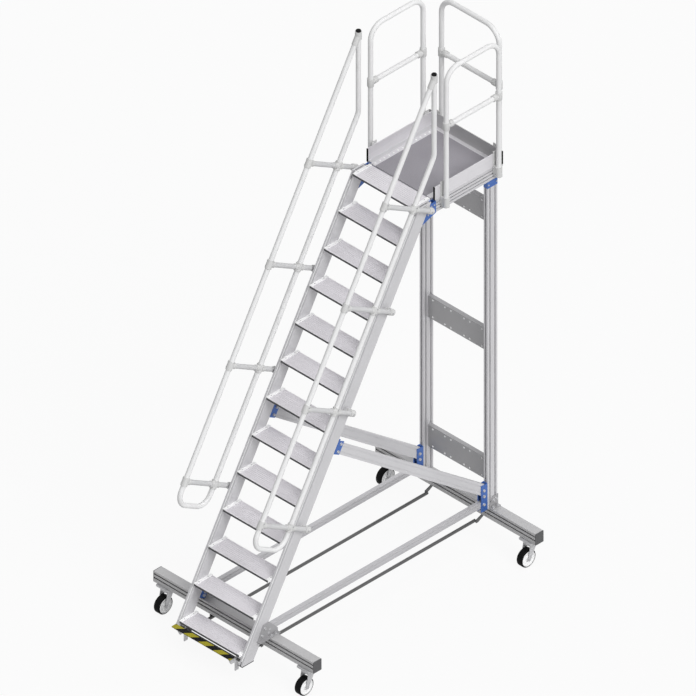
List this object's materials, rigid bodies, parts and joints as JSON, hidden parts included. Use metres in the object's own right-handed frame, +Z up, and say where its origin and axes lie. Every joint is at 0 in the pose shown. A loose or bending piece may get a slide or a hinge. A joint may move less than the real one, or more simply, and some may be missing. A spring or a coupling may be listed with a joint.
{
  "type": "mobile platform stairs",
  "caption": "Wheeled aluminium platform stairs: a steep flight with looped handrails, a guarded top platform on braced rear posts, and wide base beams on swivel casters.",
  "frame": {"origin": "on the floor below the middle of the overall box", "axes": "+Z up, +Y from the foot of the flight towards the platform, +X to the right of someone climbing"},
  "size_m": [1.6, 2.716, 4.3858],
  "materials": {
    "profile": "satin",
    "tread": "satin",
    "end_strip": "satin",
    "tube": "satin",
    "fitting": "satin",
    "plate": "satin",
    "bracket": "satin",
    "blue_bracket": "satin",
    "deck_plate": "matte",
    "black_cap": "matte",
    "hazard": "satin",
    "dark_steel": "satin",
    "zinc": "satin",
    "wheel_disc": "gloss",
    "tyre": "matte"
  },
  "bodies": {
    "frame": {"base_gussets": "bracket", "base_rails": "profile", "black_caps": "black_cap", "braces": "profile", "brake_hangers": "dark_steel", "brake_levers": "dark_steel", "brake_pedal": "hazard", "brake_rods": "dark_steel", "brake_shaft": "dark_steel", "caster_plate_front_left": "zinc", "caster_plate_front_right": "zinc", "caster_plate_rear_left": "zinc", "caster_plate_rear_right": "zinc", "cross_plates": "plate", "deck": "deck_plate", "deck_frame": "profile", "flight_shoes": "blue_bracket", "front_beam": "profile", "guard_clamps": "fitting", "guard_left": "tube", "guard_rear": "tube", "guard_right": "tube", "handrail_left": "tube", "handrail_right": "tube", "handrail_tees": "fitting", "joint_brackets": "blue_bracket", "knee_rail_crosses": "fitting", "post_heads": "blue_bracket", "post_left": "profile", "post_right": "profile", "post_shoes": "blue_bracket", "profile_caps": "black_cap", "rear_beam": "profile", "side_beam_left": "profile", "side_beam_right": "profile", "step_end_caps": "end_strip", "steps": "tread", "stringer_left": "profile", "stringer_right": "profile", "strut_feet": "fitting", "struts": "tube", "toe_board_rear": "profile", "toe_boards_side": "profile", "top_fittings": "fitting"},
    "swivel_front_left": {"caster_axle_front_left": "zinc", "caster_fork_front_left": "zinc"},
    "roller_front_left": {"tyre_front_left": "tyre", "wheel_front_left": "wheel_disc"},
    "swivel_front_right": {"caster_axle_front_right": "zinc", "caster_fork_front_right": "zinc"},
    "roller_front_right": {"tyre_front_right": "tyre", "wheel_front_right": "wheel_disc"},
    "swivel_rear_left": {"caster_axle_rear_left": "zinc", "caster_fork_rear_left": "zinc"},
    "roller_rear_left": {"tyre_rear_left": "tyre", "wheel_rear_left": "wheel_disc"},
    "swivel_rear_right": {"caster_axle_rear_right": "zinc", "caster_fork_rear_right": "zinc"},
    "roller_rear_right": {"tyre_rear_right": "tyre", "wheel_rear_right": "wheel_disc"}
  },
  "joints": [
    {"name": "front_left_swivel", "type": "hinge", "parent": "frame", "child": "swivel_front_left", "pos_m": [-0.703, -0.993, 0.2], "axis": [0, 0, 1], "continuous": true},
    {"name": "front_left_roll", "type": "hinge", "parent": "swivel_front_left", "child": "roller_front_left", "pos_m": [-0.703, -1.031, 0.072], "axis": [1, 0, 0], "continuous": true},
    {"name": "front_right_swivel", "type": "hinge", "parent": "frame", "child": "swivel_front_right", "pos_m": [0.703, -0.993, 0.2], "axis": [0, 0, 1], "continuous": true},
    {"name": "front_right_roll", "type": "hinge", "parent": "swivel_front_right", "child": "roller_front_right", "pos_m": [0.703, -1.031, 0.072], "axis": [1, 0, 0], "continuous": true},
    {"name": "rear_left_swivel", "type": "hinge", "parent": "frame", "child": "swivel_rear_left", "pos_m": [-0.703, 1.224, 0.2], "axis": [0, 0, 1], "continuous": true},
    {"name": "rear_left_roll", "type": "hinge", "parent": "swivel_rear_left", "child": "roller_rear_left", "pos_m": [-0.703, 1.186, 0.072], "axis": [1, 0, 0], "continuous": true},
    {"name": "rear_right_swivel", "type": "hinge", "parent": "frame", "child": "swivel_rear_right", "pos_m": [0.703, 1.224, 0.2], "axis": [0, 0, 1], "continuous": true},
    {"name": "rear_right_roll", "type": "hinge", "parent": "swivel_rear_right", "child": "roller_rear_right", "pos_m": [0.703, 1.186, 0.072], "axis": [1, 0, 0], "continuous": true}
  ]
}
